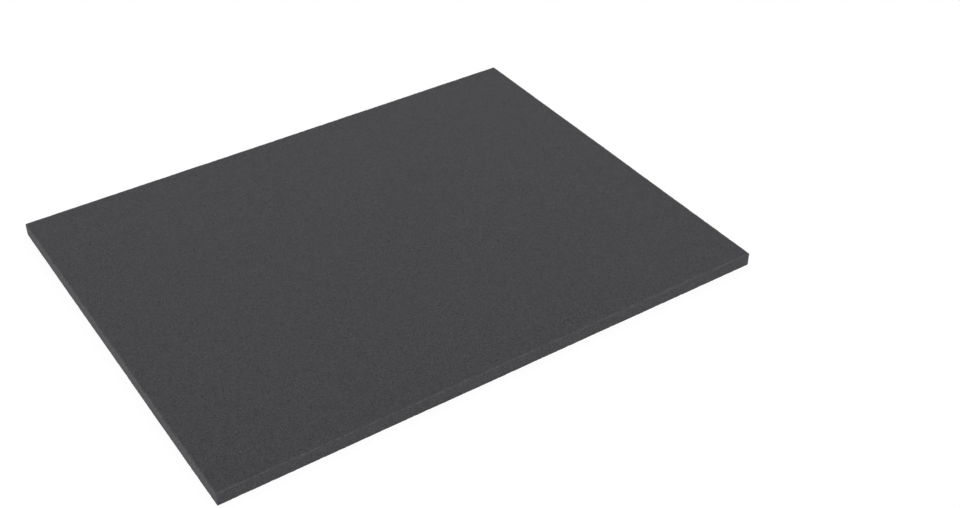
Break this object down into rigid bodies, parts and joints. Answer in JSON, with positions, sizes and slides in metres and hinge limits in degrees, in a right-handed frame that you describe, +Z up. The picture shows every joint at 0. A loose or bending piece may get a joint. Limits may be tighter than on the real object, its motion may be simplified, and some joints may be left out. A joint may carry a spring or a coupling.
{
  "type": "foam base insert",
  "caption": "Flat rectangular sheet of dark grey open-cell foam, cut square all round, that lines the floor of a case, box or drawer.",
  "frame": {"origin": "centre of the underside, on the surface that the sheet lies on", "axes": "+X along the length to the right, +Y along the width to the back, +Z up through the thickness"},
  "size_m": [0.42, 0.32, 0.01],
  "materials": {
    "foam": "matte"
  },
  "bodies": {
    "root": {"foam_sheet": "foam"}
  },
  "joints": []
}
